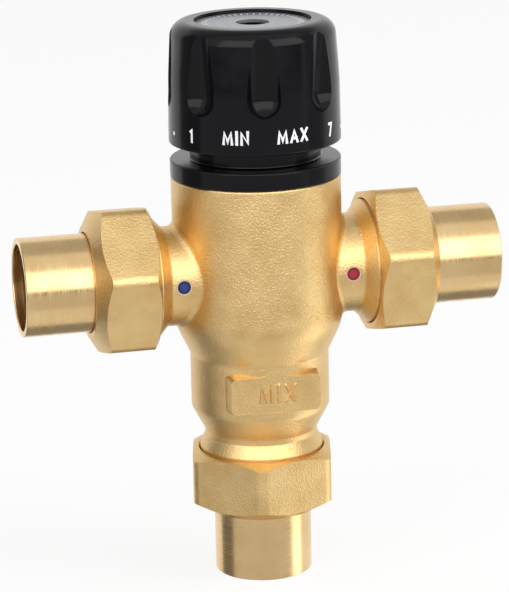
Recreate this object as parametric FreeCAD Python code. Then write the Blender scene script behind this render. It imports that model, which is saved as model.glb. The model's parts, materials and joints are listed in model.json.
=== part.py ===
"""Thermostatic mixing valve, 3/4 in sweat unions, modelled in millimetres.

Frame: the origin is the centre of the mixed-water outlet's mouth, +Z runs up the
knob's axis, +X points out of the hot inlet, -X out of the cold inlet and -Y is the
front, which carries the pad on the barrel. The knob stands at mid scale.

Levels with a name that ends in _Z are heights above the port axis, the line
through both inlets. lift() turns such a part into its place in the frame.
"""
import FreeCAD
import Part
import math
import os

Vector = FreeCAD.Vector
UP = Vector(0, 0, 1)

# --- forged body ---------------------------------------------------------------
BODY_R = 21.9             # drum round the cartridge
BODY_TOP_Z = 25.4         # machined top face
BODY_EDGE_R = 0.6
DRUM_FOOT_Z = -13.3       # where the drum would meet the cone under it
DRUM_FOOT_R = 13.0        # rounding between drum and cone
BARREL_R = 18.05          # barrel that carries the pad
BARREL_TOP_Z = -21.4
BARREL_TOP_R = 2.0
BARREL_FOOT_Z = -35.9
BARREL_FOOT_R = 3.0
NECK_R = 14.7             # waist above the outlet thread
NECK_TOP_Z = -42.2
NECK_FOOT_Z = -43.6
NECK_ROUND = 1.6
THREAD_R = 16.1          # G1 pipe thread, crest radius
THREAD_RUN = 9.4         # threaded length at each port
THREAD_CHAMFER = 0.8
INLET_RUN = 15.6          # drum to an inlet's seat face
SIDE_REACH = BODY_R + INLET_RUN   # port axis crossing to an inlet's seat face
OUTLET_DROP = 56.2        # port axis down to the outlet's seat face
PORT_NECK_R = 12.9        # inlet neck between drum and thread
PORT_FLARE = 2.9          # axial run of the flare from neck to thread
PORT_FLARE_ROUND = 1.2
CROTCH_R = 1.8            # fillet between drum and inlet neck

# --- pad on the barrel ----------------------------------------------------------
PAD_FACE_Y = -17.85       # flat front, just behind the barrel's crown
PAD_ROOT_Y = -10.0
PAD_WIDTH = 23.4
PAD_HEIGHT = 9.6
PAD_Z = -28.9
PAD_CORNER_R = 1.5
PAD_DRAFT = 7.0           # degrees, forging draft of the four sides

# --- colour marks on the inlet necks ----------------------------------------------
MARK_R = 2.0
MARK_RUN = 0.3            # drum to the middle of a coloured mark
MARK_X = BODY_R + MARK_RUN
MARK_DEPTH = 0.8
MARK_FIT = 0.05

# --- bores inside the body ---------------------------------------------------------
HEAD_BORE_R = 17.5
HEAD_SINK_R = 19.5
HEAD_SINK_DEPTH = 2.4
LAND_R = 13.05            # land that guides the shutter
LAND_HALF = 2.5
COLD_CHAMBER_R = 17.0
SEAT_GAP = 1.7            # shutter to seat at mid scale
COLD_SEAT_R = 12.1
COLD_SEAT_DEPTH = 2.8
MIX_CHAMBER_R = 12.5
SPRING_LEDGE_Z = -24.0
OUTLET_BORE_R = 10.4
CHECK_POCKET_R = 11.0
CHECK_POCKET_DEPTH = 14.3

# --- unions -------------------------------------------------------------------------
NUT_FLATS = 36.0
NUT_LENGTH = 16.3
NUT_CORNER_R = 3.2
NUT_LIP = 2.9
NUT_BORE_R = 16.3
NUT_MOUTH_R = 16.6
NUT_TAIL_FIT = 0.3        # radial, between the lip and the tailpiece
NUT_OUTER_FACE_R = 14.5   # where the outer chamfer starts
NUT_INNER_FACE_R = 17.7   # where the chamfer on the body side starts
NUT_CHAMFER = 30.0        # degrees from the end face
COLD_NUT_TURN = 12.0       # degrees from level to the front corner, upward
HOT_NUT_TURN = 14.0
MIX_NUT_TURN = -13.0      # degrees from the front to the nearest corner
TAIL_R = 12.7
TAIL_LENGTH = 22.9
TAIL_FLANGE_R = 15.9
TAIL_FLANGE = 2.6
TAIL_SOCKET_R = 11.15     # sweat socket for 3/4 in (22.2 mm) copper tube
TAIL_SOCKET_DEPTH = 19.0
TAIL_WATERWAY_R = 9.8
TAIL_EDGE_R = 0.25
GASKET = 2.0
GASKET_BORE_R = 9.9

# --- check valves ---------------------------------------------------------------------
CAGE_FIT = 0.1
CAGE_WALL = 2.3
CAGE_END_GAP = 0.1
CHECK_SEAT_R = 6.0
CHECK_SEAT = 1.6
SPIDER_START = 2.3        # pocket floor to the spider
SPIDER = 2.0
SPIDER_ARM = 1.8
HUB_R = 2.2
HUB_LENGTH = 3.0
POPPET_R = 7.4
POPPET = 1.6
POPPET_STEM_R = 1.2
POPPET_FIT = 0.1
POPPET_LIFT = 3.0
POPPET_SEAT_GAP = 0.3
CHECK_SPRING_R = 3.4
CHECK_WIRE_R = 0.35
CHECK_TURNS = 4

# --- headwork ----------------------------------------------------------------------------
HEAD_PLUG_R = 17.45
HEAD_FLANGE_R = 19.4
HEAD_FOOT_Z = 12.5
HOT_SEAT_OUT_R = 14.4
HOT_SEAT_IN_R = 11.6
HOT_CAVITY_TOP_Z = 13.0
HEX_CEILING_Z = 24.0
COLLAR_SINK = 2.1         # depth of the recess above the hexagon for the stem's collar
BOSS_FLATS = 20.0
BOSS_TOP_Z = 31.0
TOWER_R = 8.0
TOWER_TOP_Z = 41.0
HEAD_SEAL_Z = 15.5

# --- locking ring ----------------------------------------------------------------------------
RING_LIP = 0.1            # the ring stands this far outside the drum
RING_R = BODY_R + RING_LIP
RING_THICKNESS = 4.6
RING_EDGE_R = 0.5
RING_NECK_R = 16.85
RING_NECK_TOP_Z = 38.0
RING_WELL_R = 12.5
BOSS_FIT = 0.1

# --- stem ---------------------------------------------------------------------------------------
STEM_R = 4.5
STEM_FIT = 0.05
STEM_COLLAR_R = 6.0
STEM_COLLAR = 1.5
STEM_PLAY = 0.3
STEM_DRIVE_R = 4.0
STEM_FLATS = 6.4
STEM_FOOT_Z = 16.6
SCREW_THREAD_R = 3.95     # drive thread, crest radius
STEM_SEAL_LOW_Z = 31.0
STEM_SEAL_HIGH_Z = 35.0
CLIP_R = 6.8
CLIP = 0.9
CLIP_GROOVE_R = 3.9

# --- knob ------------------------------------------------------------------------------------------
KNOB_BOTTOM_Z = 34.4
KNOB_TOP_Z = 65.5
STEM_SINK = 7.2           # stem's top below the knob's top
STEM_TOP_Z = KNOB_TOP_Z - STEM_SINK
KNOB_LIP = 0.1            # the knob stands this far outside the ring
KNOB_FOOT_R = RING_R + KNOB_LIP
KNOB_WAIST_TAPER = 0.2
KNOB_WAIST_R = KNOB_FOOT_R - KNOB_WAIST_TAPER
KNOB_WAIST_Z = 50.5
KNOB_HEAD_TAPER = 1.0
KNOB_HEAD_R = KNOB_WAIST_R - KNOB_HEAD_TAPER
KNOB_SHOULDER_R = 4.0
KNOB_BOW_R = 60.0
KNOB_WALL = 2.2
KNOB_WEB = 2.4
KNOB_TURN = -6.7          # degrees from the front to the knob's own zero
FLUTES = 8
FLUTE_R = 5.0
FLUTE_WALL = 2.0
FLUTE_FOOT_Z = 43.3
FLUTE_STAND = 2.0         # a flute's axis at its foot, outside the knob's skirt
FLUTE_AXIS_R = KNOB_FOOT_R + FLUTE_STAND
FLUTE_LEAN = 5.0          # degrees outward
DISC_R = 14.75
DISC = 0.8
DISC_FIT = 0.2
DISC_STEP = 0.9           # rim above the disc
SCREW_WELL_R = 4.25
HUB_OUT_R = 6.6
HUB_FOOT_Z = 44.0
SCREW_FLOOR = 1.6
SCREW_HEAD_R = 3.6
SCREW_HEAD = 2.4
SCREW_R = 1.95
SCREW_LENGTH = 9.0
SCREW_FIT = 0.1
SLOT_WIDTH = 0.9
SLOT_DEPTH = 1.2

# --- plunger and its spring ---------------------------------------------------------------------------
PLUNGER_FLATS = 16.8
PLUNGER_FIT = 0.1         # each side in the headwork's hexagon, and on the drive thread
PLUNGER_TOP_Z = 22.4
PLUNGER_HEX = 9.1
PLUNGER_SKIRT_R = 7.2
PLUNGER_FOOT_Z = 4.6
SPRING_WELL_R = 5.6
SPRING_WELL_TOP_Z = 15.0
RETAINER_LIFT = 0.6       # plunger's foot to the retainer
RETAINER = 0.8
RETAINER_R = 6.1
RETAINER_BORE_R = 4.6
CUP_R = 5.4
CUP_FLANGE = 1.2
CUP_BOSS_R = 3.7
CUP_HEIGHT = 4.2
CUP_HOLE_DEPTH = 3.2
OVERTRAVEL_R = 4.75
OVERTRAVEL_WIRE_R = 0.5
OVERTRAVEL_TURNS = 5

# --- shutter, wax capsule and return spring ---------------------------------------------------------------
SHUTTER_FIT = 0.05
SHUTTER_HALF = 8.5
SHUTTER_WALL = 1.2
WEB_HALF = 2.4
RIM_IN_R = 9.6
WEB_HUB_R = 7.0
WEB_ARM = 4.0
CAPSULE_GUIDE_R = 4.5
CAPSULE_FIT = 0.05
CAPSULE_GUIDE_TOP_Z = 4.2
CAPSULE_FLANGE_R = 8.0
CAPSULE_FLANGE = 2.6
CAPSULE_R = 6.4
CAPSULE_FOOT_Z = -27.0
CAPSULE_ROUND = 2.0
PISTON_R = 1.6
PISTON_FIT = 0.05
PISTON_FOOT_Z = -3.0
RETURN_R = 10.9
RETURN_WIRE_R = 0.65
RETURN_TURNS = 6

# --- O-rings: cord radius and groove ------------------------------------------------------------------------
SEAL_CORD_R = 0.9
STEM_SEAL_CORD_R = 0.75
GROOVE_FIT = 0.15
SEAL_SQUEEZE = 0.05       # cord stands this far inside the mating bore
SPRING_END_GAP = 0.05
COIL_STEPS = 14           # straight lengths in one turn of a spring

PORT_AXIS = OUTLET_DROP + GASKET + TAIL_LENGTH   # height of the port axis in the frame


def lift(shape):
    """Move a shape drawn about the port axis into the valve's frame."""
    moved = shape.copy()
    moved.translate(Vector(0, 0, PORT_AXIS))
    return moved


def rounded_wire(corners):
    """Closed wire in the XZ plane through corners (r, z) or (r, z, rounding)."""
    count = len(corners)
    starts, ends, arcs = [], [], []
    for i, corner in enumerate(corners):
        here = Vector(corner[0], 0, corner[1])
        rounding = corner[2] if len(corner) > 2 else 0
        if not rounding:
            starts.append(here)
            ends.append(here)
            arcs.append(None)
            continue
        before = Vector(corners[i - 1][0], 0, corners[i - 1][1])
        after = Vector(corners[(i + 1) % count][0], 0, corners[(i + 1) % count][1])
        back = (before - here).normalize()
        ahead = (after - here).normalize()
        half = back.getAngle(ahead) / 2
        reach = rounding / math.tan(half)
        middle = (back + ahead).normalize()
        crown = here + middle * (rounding / math.sin(half) - rounding)
        starts.append(here + back * reach)
        ends.append(here + ahead * reach)
        arcs.append(Part.Arc(starts[i], crown, ends[i]).toShape())
    edges = []
    for i in range(count):
        if arcs[i]:
            edges.append(arcs[i])
        following = starts[(i + 1) % count]
        if (following - ends[i]).Length > 1e-6:
            edges.append(Part.LineSegment(ends[i], following).toShape())
    return Part.Wire(edges)


def turned(corners):
    """Solid of revolution about Z of a closed profile."""
    return Part.Face(rounded_wire(corners)).revolve(Vector(), UP, 360)


def rod(radius, low, high):
    """Plain cylinder about Z between two heights."""
    return Part.makeCylinder(radius, high - low, Vector(0, 0, low))


def tube(outer, inner, low, high):
    """Plain ring about Z between two heights."""
    return rod(outer, low, high).cut(rod(inner, low - 1, high + 1))


def hexagon(flats, low, high):
    """Hexagonal prism about Z with a corner towards +X."""
    radius = flats / math.sqrt(3)
    points = [Vector(radius * math.cos(math.radians(60 * i)), radius * math.sin(math.radians(60 * i)), low)
              for i in range(7)]
    return Part.Face(Part.makePolygon(points)).extrude(Vector(0, 0, high - low))


def o_ring(centre_r, cord_r, height):
    """Torus about Z."""
    return Part.makeTorus(centre_r, cord_r, Vector(0, 0, height))


def coil_spring(mean_r, wire_r, turns, low, high):
    """Helical spring about Z whose wire lies between two heights, lofted in short lengths."""
    rise = high - low - 2 * wire_r
    steps = turns * COIL_STEPS
    sections = []
    for i in range(steps + 1):
        corners = [Vector(mean_r + wire_r * math.cos(math.radians(60 * k)), 0,
                          low + wire_r + rise * i / steps + wire_r * math.sin(math.radians(60 * k)))
                   for k in range(7)]
        section = Part.makePolygon(corners)
        section.rotate(Vector(), UP, 360 * i / COIL_STEPS)
        sections.append(section)
    return Part.makeLoft(sections, True, True)


def to_inlet(shape, side, start):
    """Lay a shape drawn along +Z on the port axis, starting there and pointing out of an inlet."""
    laid = shape.copy()
    laid.translate(Vector(0, 0, start))
    laid.rotate(Vector(), Vector(0, 1, 0), 90 * side)
    return lift(laid)


def to_outlet(shape):
    """Turn a shape drawn along +Z from the seat face so that it points down out of the outlet."""
    laid = shape.copy()
    laid.translate(Vector(0, 0, OUTLET_DROP))
    laid.rotate(Vector(), Vector(1, 0, 0), 180)
    return lift(laid)


# --- body -------------------------------------------------------------------------

def body_forging():
    """Outside of the forging: drum, barrel, outlet and two inlet necks."""
    drum = turned([
        (0, BODY_TOP_Z),
        (BODY_R, BODY_TOP_Z, BODY_EDGE_R),
        (BODY_R, DRUM_FOOT_Z, DRUM_FOOT_R),
        (BARREL_R, BARREL_TOP_Z, BARREL_TOP_R),
        (BARREL_R, BARREL_FOOT_Z, BARREL_FOOT_R),
        (NECK_R, NECK_TOP_Z, NECK_ROUND),
        (NECK_R, NECK_FOOT_Z, NECK_ROUND / 2),
        (THREAD_R, THREAD_RUN - OUTLET_DROP),
        (THREAD_R, THREAD_CHAMFER - OUTLET_DROP),
        (THREAD_R - THREAD_CHAMFER, -OUTLET_DROP),
        (0, -OUTLET_DROP)])
    thread_start = SIDE_REACH - THREAD_RUN
    neck = turned([
        (0, 0),
        (PORT_NECK_R, 0),
        (PORT_NECK_R, thread_start - PORT_FLARE, PORT_FLARE_ROUND),
        (THREAD_R, thread_start),
        (THREAD_R, SIDE_REACH - THREAD_CHAMFER),
        (THREAD_R - THREAD_CHAMFER, SIDE_REACH),
        (0, SIDE_REACH)])
    forging = drum
    for side in (1, -1):
        laid = neck.copy()
        laid.rotate(Vector(), Vector(0, 1, 0), 90 * side)
        forging = forging.fuse(laid)
    forging = forging.removeSplitter()
    crotches = [edge for edge in forging.Edges if in_crotch(edge)]
    return forging.makeFillet(CROTCH_R, crotches)


def in_crotch(edge):
    """True for an edge where an inlet neck leaves the drum."""
    if edge.Length < 1:
        return False
    for share in (0.1, 0.5, 0.9):
        point = edge.valueAt(edge.FirstParameter + share * (edge.LastParameter - edge.FirstParameter))
        if abs(math.hypot(point.y, point.z) - PORT_NECK_R) > 0.01 or abs(point.x) > BODY_R:
            return False
        if abs(point.x) < 1:
            return False
    return True


def drafted_block(width, height, corner, y):
    """Rounded rectangle parallel to the front, as a wire for the pad."""
    half_w = width / 2
    half_h = height / 2
    wire = rounded_wire([
        (-half_w, PAD_Z - half_h, corner),
        (half_w, PAD_Z - half_h, corner),
        (half_w, PAD_Z + half_h, corner),
        (-half_w, PAD_Z + half_h, corner)])
    wire.translate(Vector(0, y, 0))
    return wire


def pad():
    """Flat forged pad on the barrel, with draft on its four sides."""
    spread = 2 * (PAD_ROOT_Y - PAD_FACE_Y) * math.tan(math.radians(PAD_DRAFT))
    face = drafted_block(PAD_WIDTH, PAD_HEIGHT, PAD_CORNER_R, PAD_FACE_Y)
    root = drafted_block(PAD_WIDTH + spread, PAD_HEIGHT + spread, PAD_CORNER_R, PAD_ROOT_Y)
    return Part.makeLoft([root, face], True, True)


def pad_front():
    """Space before the pad's face, where the barrel's crown is pressed flat."""
    corner = Vector(-PAD_WIDTH / 2, -BODY_R, PAD_Z - PAD_HEIGHT / 2)
    return Part.makeBox(PAD_WIDTH, BODY_R + PAD_FACE_Y, PAD_HEIGHT, corner)


def body_bores():
    """Everything machined or cored out of the body."""
    cold_seat_z = -SHUTTER_HALF - SEAT_GAP
    centre = turned([
        (0, BODY_TOP_Z + 1),
        (HEAD_SINK_R, BODY_TOP_Z + 1),
        (HEAD_SINK_R, BODY_TOP_Z - HEAD_SINK_DEPTH),
        (HEAD_BORE_R, BODY_TOP_Z - HEAD_SINK_DEPTH),
        (HEAD_BORE_R, LAND_HALF),
        (LAND_R, LAND_HALF),
        (LAND_R, -LAND_HALF),
        (COLD_CHAMBER_R, -LAND_HALF),
        (COLD_CHAMBER_R, cold_seat_z),
        (COLD_SEAT_R, cold_seat_z),
        (COLD_SEAT_R, cold_seat_z - COLD_SEAT_DEPTH),
        (MIX_CHAMBER_R, cold_seat_z - COLD_SEAT_DEPTH),
        (MIX_CHAMBER_R, SPRING_LEDGE_Z),
        (OUTLET_BORE_R, SPRING_LEDGE_Z),
        (OUTLET_BORE_R, -OUTLET_DROP - 1),
        (0, -OUTLET_DROP - 1)])
    bores = [centre]
    for side, low, high in ((1, LAND_HALF, HEAD_FOOT_Z), (-1, cold_seat_z, -LAND_HALF)):
        pocket = rod(CHECK_POCKET_R, SIDE_REACH - CHECK_POCKET_DEPTH, SIDE_REACH + 1)
        pocket.rotate(Vector(), Vector(0, 1, 0), 90 * side)
        passage = rod(CHECK_POCKET_R, LAND_R + 1, SIDE_REACH - CHECK_POCKET_DEPTH + 0.5)
        passage.rotate(Vector(), Vector(0, 1, 0), 90 * side)
        slab = Part.makeBox(4 * BODY_R, 4 * BODY_R, high - low, Vector(-2 * BODY_R, -2 * BODY_R, low))
        bores.append(pocket)
        bores.append(passage.common(slab))
    return bores


def mark_disc(side, radius):
    """Colour disc let into the front of an inlet neck."""
    return Part.makeCylinder(radius, MARK_DEPTH, Vector(side * MARK_X, MARK_DEPTH - PORT_NECK_R, 0),
                             Vector(0, -1, 0))


def valve_body():
    """Forged and machined brass body, one piece."""
    body = body_forging().fuse(pad()).cut(pad_front()).removeSplitter()
    body = body.cut(body_bores())
    body = body.cut([mark_disc(side, MARK_R + MARK_FIT) for side in (1, -1)])
    return lift(body)


# --- unions, drawn along +Z from the seat face outward -------------------------------

def union_nut(turn):
    """Hexagon union nut; its lip bears on the tailpiece's flange."""
    outer_face = GASKET + TAIL_FLANGE + NUT_LIP
    inner_face = outer_face - NUT_LENGTH
    blank = hexagon(NUT_FLATS, inner_face, outer_face)
    corners = [edge for edge in blank.Edges if abs(edge.Length - NUT_LENGTH) < 0.01]
    blank = blank.makeFillet(NUT_CORNER_R, corners)
    reach = NUT_FLATS / math.sqrt(3) + 1
    slope = math.tan(math.radians(NUT_CHAMFER))
    envelope = turned([
        (0, inner_face),
        (NUT_INNER_FACE_R, inner_face),
        (reach, inner_face + (reach - NUT_INNER_FACE_R) * slope),
        (reach, outer_face - (reach - NUT_OUTER_FACE_R) * slope),
        (NUT_OUTER_FACE_R, outer_face),
        (0, outer_face)])
    lip_face = outer_face - NUT_LIP
    mouth = NUT_MOUTH_R - NUT_BORE_R
    hole = turned([
        (0, inner_face - 1),
        (NUT_MOUTH_R + 1, inner_face - 1),
        (NUT_MOUTH_R, inner_face),
        (NUT_BORE_R, inner_face + mouth),
        (NUT_BORE_R, lip_face),
        (TAIL_R + NUT_TAIL_FIT, lip_face),
        (TAIL_R + NUT_TAIL_FIT, outer_face + 1),
        (0, outer_face + 1)])
    nut = blank.common(envelope).cut(hole)
    nut.rotate(Vector(), UP, turn)
    return nut


def tailpiece():
    """Turned sweat tailpiece with its sealing flange."""
    end = GASKET + TAIL_LENGTH
    return turned([
        (TAIL_WATERWAY_R, GASKET),
        (TAIL_FLANGE_R, GASKET),
        (TAIL_FLANGE_R, GASKET + TAIL_FLANGE),
        (TAIL_R, GASKET + TAIL_FLANGE),
        (TAIL_R, end, TAIL_EDGE_R),
        (TAIL_SOCKET_R, end, TAIL_EDGE_R),
        (TAIL_SOCKET_R, end - TAIL_SOCKET_DEPTH),
        (TAIL_WATERWAY_R, end - TAIL_SOCKET_DEPTH)])


def gasket():
    """Flat fibre washer between seat face and tailpiece."""
    return tube(TAIL_FLANGE_R, GASKET_BORE_R, 0, GASKET)


# --- check valve, drawn along +Z with the pocket's floor at 0 --------------------------

def check_cage():
    """Moulded cage: seat ring upstream, spider with a guide hub downstream."""
    outer = CHECK_POCKET_R - CAGE_FIT
    inner = outer - CAGE_WALL
    top = CHECK_POCKET_DEPTH - CAGE_END_GAP
    shell = tube(outer, inner, 0, top)
    seat = tube(inner + CAGE_WALL / 2, CHECK_SEAT_R, top - CHECK_SEAT, top)
    hub = rod(HUB_R, SPIDER_START, SPIDER_START + HUB_LENGTH)
    cage = shell.fuse([seat, hub])
    for i in range(3):
        arm = Part.makeBox(inner + CAGE_WALL / 2, SPIDER_ARM, SPIDER, Vector(0, -SPIDER_ARM / 2, SPIDER_START))
        arm.rotate(Vector(), UP, 120 * i + 90)
        cage = cage.fuse(arm)
    return cage.cut(rod(POPPET_STEM_R + POPPET_FIT, -1, SPIDER_START + HUB_LENGTH + 1)).removeSplitter()


def poppet_levels():
    """Heights of a closed poppet: tip of the stem, back and face of the disc."""
    face = CHECK_POCKET_DEPTH - CAGE_END_GAP - CHECK_SEAT - POPPET_SEAT_GAP
    tip = POPPET_LIFT + POPPET_SEAT_GAP
    return tip, face - POPPET, face


def check_poppet():
    """Poppet disc on its guide stem, closed."""
    tip, back, face = poppet_levels()
    dome = POPPET / 3
    return turned([
        (0, tip),
        (POPPET_STEM_R, tip),
        (POPPET_STEM_R, back),
        (POPPET_R, back),
        (POPPET_R, face - dome),
        (POPPET_R - dome, face),
        (0, face)])


def check_spring():
    """Closing spring between spider and poppet."""
    back = poppet_levels()[1]
    return coil_spring(CHECK_SPRING_R, CHECK_WIRE_R, CHECK_TURNS, SPIDER_START + SPIDER, back - SPRING_END_GAP)


# --- headwork and locking ring ------------------------------------------------------------

def seal_groove(shaft_r, cord_r, height):
    """Ring cutter for an O-ring groove in a shaft."""
    half = cord_r + GROOVE_FIT
    floor = shaft_r - 2 * cord_r
    return tube(shaft_r + 1, floor, height - half, height + half)


def headwork():
    """Brass headwork: plug, hot seat, hexagon boss and stem tower."""
    hot_seat_z = SHUTTER_HALF + SEAT_GAP
    outside = turned([
        (0, TOWER_TOP_Z),
        (TOWER_R, TOWER_TOP_Z, 0.5),
        (TOWER_R, BODY_TOP_Z - 1),
        (HEAD_FLANGE_R, BODY_TOP_Z - 1),
        (HEAD_FLANGE_R, BODY_TOP_Z - HEAD_SINK_DEPTH),
        (HEAD_PLUG_R, BODY_TOP_Z - HEAD_SINK_DEPTH),
        (HEAD_PLUG_R, HEAD_FOOT_Z),
        (HOT_SEAT_OUT_R, HEAD_FOOT_Z),
        (HOT_SEAT_OUT_R, hot_seat_z),
        (0, hot_seat_z)])
    flange = rod(HEAD_FLANGE_R, BODY_TOP_Z - HEAD_SINK_DEPTH, BODY_TOP_Z)
    boss = hexagon(BOSS_FLATS, BODY_TOP_Z - 1, BOSS_TOP_Z)
    piece = outside.fuse([flange, boss])
    piece = piece.cut([
        rod(HOT_SEAT_IN_R, hot_seat_z - 1, HOT_CAVITY_TOP_Z),
        hexagon(PLUNGER_FLATS + 2 * PLUNGER_FIT, HOT_CAVITY_TOP_Z - 1, HEX_CEILING_Z),
        rod(STEM_COLLAR_R + STEM_PLAY, HEX_CEILING_Z - 1, HEX_CEILING_Z + COLLAR_SINK),
        rod(STEM_R + STEM_FIT, HEX_CEILING_Z, TOWER_TOP_Z + 1),
        seal_groove(HEAD_PLUG_R, SEAL_CORD_R, HEAD_SEAL_Z)])
    return lift(piece.removeSplitter())


def headwork_o_ring():
    """Seal between headwork and body."""
    return lift(o_ring(HEAD_BORE_R - SEAL_SQUEEZE - SEAL_CORD_R, SEAL_CORD_R, HEAD_SEAL_Z))


def locking_ring():
    """Black moulded ring on the body, keyed on the headwork's hexagon."""
    ring_top = BODY_TOP_Z + RING_THICKNESS
    ring = turned([
        (0, BODY_TOP_Z),
        (RING_R, BODY_TOP_Z, RING_EDGE_R / 2),
        (RING_R, ring_top, RING_EDGE_R),
        (RING_NECK_R, ring_top, RING_EDGE_R),
        (RING_NECK_R, RING_NECK_TOP_Z, RING_EDGE_R),
        (0, RING_NECK_TOP_Z)])
    keyway = hexagon(BOSS_FLATS + 2 * BOSS_FIT, BODY_TOP_Z - 1, BOSS_TOP_Z + 1)
    well = rod(RING_WELL_R, BOSS_TOP_Z - 1, RING_NECK_TOP_Z + 1)
    return lift(ring.cut([keyway, well]))


# --- knob and stem ---------------------------------------------------------------------------

def stem():
    """Brass stem: drive thread, collar, sealed journal and flatted top."""
    collar_top = HEX_CEILING_Z + COLLAR_SINK - STEM_PLAY
    shoulder = TOWER_TOP_Z + STEM_PLAY + CLIP + STEM_PLAY
    shaft = turned([
        (0, STEM_FOOT_Z),
        (SCREW_THREAD_R, STEM_FOOT_Z),
        (SCREW_THREAD_R, collar_top - STEM_COLLAR),
        (STEM_COLLAR_R, collar_top - STEM_COLLAR),
        (STEM_COLLAR_R, collar_top),
        (STEM_R, collar_top),
        (STEM_R, shoulder),
        (STEM_DRIVE_R, shoulder),
        (STEM_DRIVE_R, STEM_TOP_Z, 0.4),
        (0, STEM_TOP_Z)])
    shaft = shaft.cut([
        seal_groove(STEM_R, STEM_SEAL_CORD_R, STEM_SEAL_LOW_Z),
        seal_groove(STEM_R, STEM_SEAL_CORD_R, STEM_SEAL_HIGH_Z),
        tube(STEM_R + 1, CLIP_GROOVE_R, TOWER_TOP_Z + STEM_PLAY, TOWER_TOP_Z + STEM_PLAY + CLIP),
        rod(SCREW_R + SCREW_FIT, STEM_TOP_Z - SCREW_LENGTH - 1, STEM_TOP_Z + 1)])
    shaft = shaft.cut(drive_flats(STEM_FLATS, shoulder, STEM_TOP_Z + 1))
    shaft.rotate(Vector(), UP, KNOB_TURN)
    return lift(shaft)


def drive_flats(flats, low, high):
    """Two slabs that leave a double-flatted drive between them."""
    slab = Part.makeBox(4 * STEM_R, 4 * STEM_R, high - low, Vector(-2 * STEM_R, flats / 2, low))
    return [slab, slab.mirror(Vector(), Vector(0, 1, 0))]


def stem_clip():
    """Snap ring that holds the stem down in the tower."""
    ring = tube(CLIP_R, CLIP_GROOVE_R, TOWER_TOP_Z + STEM_PLAY, TOWER_TOP_Z + STEM_PLAY + CLIP)
    slot = Part.makeBox(2 * CLIP_R, 2 * CLIP_GROOVE_R - 1, 4 * CLIP,
                        Vector(0, 0.5 - CLIP_GROOVE_R, TOWER_TOP_Z - CLIP))
    return lift(ring.cut(slot))


def stem_o_ring(height):
    """Seal between stem and tower."""
    return lift(o_ring(STEM_R + STEM_FIT - SEAL_SQUEEZE - STEM_SEAL_CORD_R, STEM_SEAL_CORD_R, height))


def knob_outside():
    """Turned shape of the knob before the flutes."""
    return turned([
        (0, KNOB_BOTTOM_Z),
        (KNOB_FOOT_R, KNOB_BOTTOM_Z, 0.4),
        (KNOB_WAIST_R, KNOB_WAIST_Z, KNOB_BOW_R),
        (KNOB_HEAD_R, KNOB_TOP_Z, KNOB_SHOULDER_R),
        (0, KNOB_TOP_Z)])


def flute(radius, index):
    """Leaning round-nosed cutter for one finger flute."""
    nose = FLUTE_FOOT_Z + FLUTE_R
    cutter = rod(radius, 0, KNOB_TOP_Z - nose + FLUTE_R).fuse(Part.makeSphere(radius))
    cutter.rotate(Vector(), Vector(1, 0, 0), FLUTE_LEAN)
    cutter.translate(Vector(0, -FLUTE_AXIS_R, nose))
    cutter.rotate(Vector(), UP, 360 / FLUTES * index)
    return cutter


def knob_cavity():
    """Space inside the skirt, with an even wall behind each flute, round the hub."""
    ceiling = KNOB_TOP_Z - DISC_STEP - DISC - KNOB_WEB
    cavity = turned([
        (HUB_OUT_R, KNOB_BOTTOM_Z - 1),
        (KNOB_FOOT_R - KNOB_WALL, KNOB_BOTTOM_Z - 1),
        (KNOB_WAIST_R - KNOB_WALL, KNOB_WAIST_Z),
        (KNOB_HEAD_R - KNOB_WALL, ceiling, 1.5),
        (HUB_OUT_R, ceiling)])
    cavity = cavity.fuse(rod(HUB_OUT_R + 1, KNOB_BOTTOM_Z - 1, HUB_FOOT_Z))
    return cavity.cut([flute(FLUTE_R + FLUTE_WALL, i) for i in range(FLUTES)])


def screw_floor_z():
    """Level on which the knob screw's head bears."""
    return STEM_TOP_Z + STEM_PLAY + SCREW_FLOOR


def knob():
    """Moulded knob with eight finger flutes, hub and screw well."""
    disc_seat = KNOB_TOP_Z - DISC_STEP - DISC
    body = knob_outside().cut([flute(FLUTE_R, i) for i in range(FLUTES)])
    body = body.cut(knob_cavity())
    socket = rod(STEM_DRIVE_R + SCREW_FIT, HUB_FOOT_Z - 1, STEM_TOP_Z + STEM_PLAY)
    socket = socket.cut(drive_flats(STEM_FLATS + 2 * SCREW_FIT, HUB_FOOT_Z - 2, STEM_TOP_Z + 1))
    body = body.cut([
        rod(DISC_R + DISC_FIT, disc_seat, KNOB_TOP_Z + 1),
        rod(SCREW_WELL_R, screw_floor_z(), KNOB_TOP_Z),
        rod(SCREW_R + 2 * SCREW_FIT, STEM_TOP_Z, KNOB_TOP_Z),
        socket])
    body.rotate(Vector(), UP, KNOB_TURN)
    return lift(body)


def knob_disc():
    """Printed cover disc let into the knob's top."""
    low = KNOB_TOP_Z - DISC_STEP - DISC
    return lift(tube(DISC_R, SCREW_WELL_R, low, low + DISC))


def knob_screw():
    """Cross-slotted pan-head screw that holds the knob on the stem."""
    floor = screw_floor_z()
    head_top = floor + SCREW_HEAD
    screw = turned([
        (0, STEM_TOP_Z - SCREW_LENGTH),
        (SCREW_R, STEM_TOP_Z - SCREW_LENGTH),
        (SCREW_R, floor),
        (SCREW_HEAD_R, floor),
        (SCREW_HEAD_R, head_top, 0.9),
        (0, head_top)])
    half = SCREW_HEAD_R * 0.6
    slot = Part.makeBox(2 * half, SLOT_WIDTH, SLOT_DEPTH + 1, Vector(-half, -SLOT_WIDTH / 2, head_top - SLOT_DEPTH))
    cross = slot.copy()
    cross.rotate(Vector(), UP, 90)
    return lift(screw.cut([slot, cross]))


# --- plunger -----------------------------------------------------------------------------------

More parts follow.
